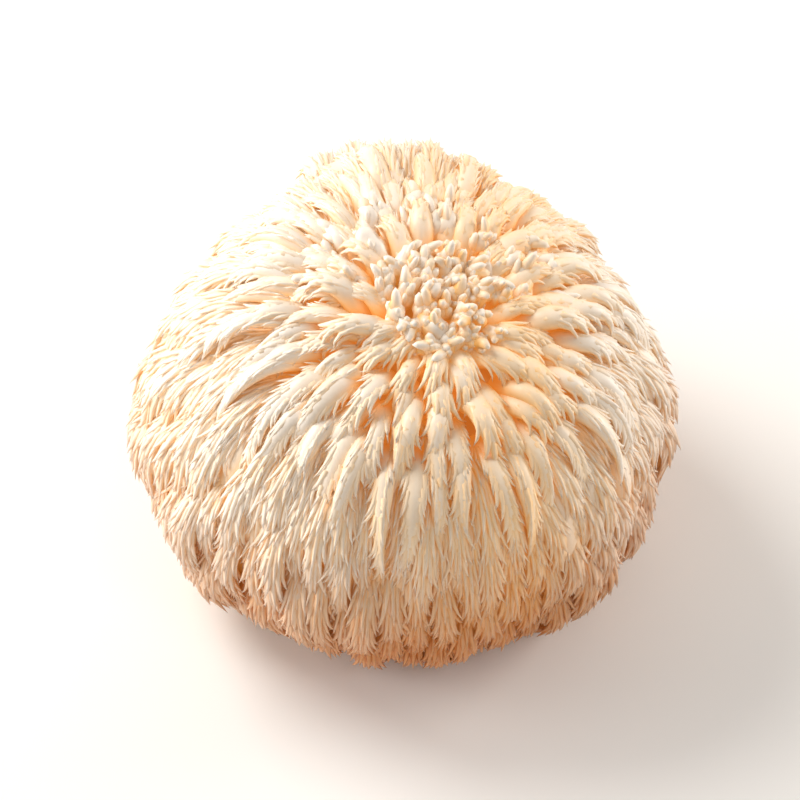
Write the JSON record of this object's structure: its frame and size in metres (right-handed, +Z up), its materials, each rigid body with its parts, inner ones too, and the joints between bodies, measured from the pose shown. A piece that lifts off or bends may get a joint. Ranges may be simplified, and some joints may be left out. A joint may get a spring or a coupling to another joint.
{
  "type": "lions mane mushroom",
  "caption": "Shaggy rounded fruiting body of a lion's mane mushroom, its drooping spines parting from a crown, cut off flat underneath.",
  "frame": {"origin": "middle of the flat cut face that the mushroom rests on", "axes": "+Z up from the cut face, -Y the front, which faces the camera, +X to the right in the picture"},
  "size_m": [0.1521, 0.1535, 0.1122],
  "materials": {
    "mushroom_flesh": "soft moist flesh, ivory at the spine tips and warm tan between the locks"
  },
  "bodies": {
    "root": {"fruiting_body": "mushroom_flesh"}
  },
  "joints": []
}
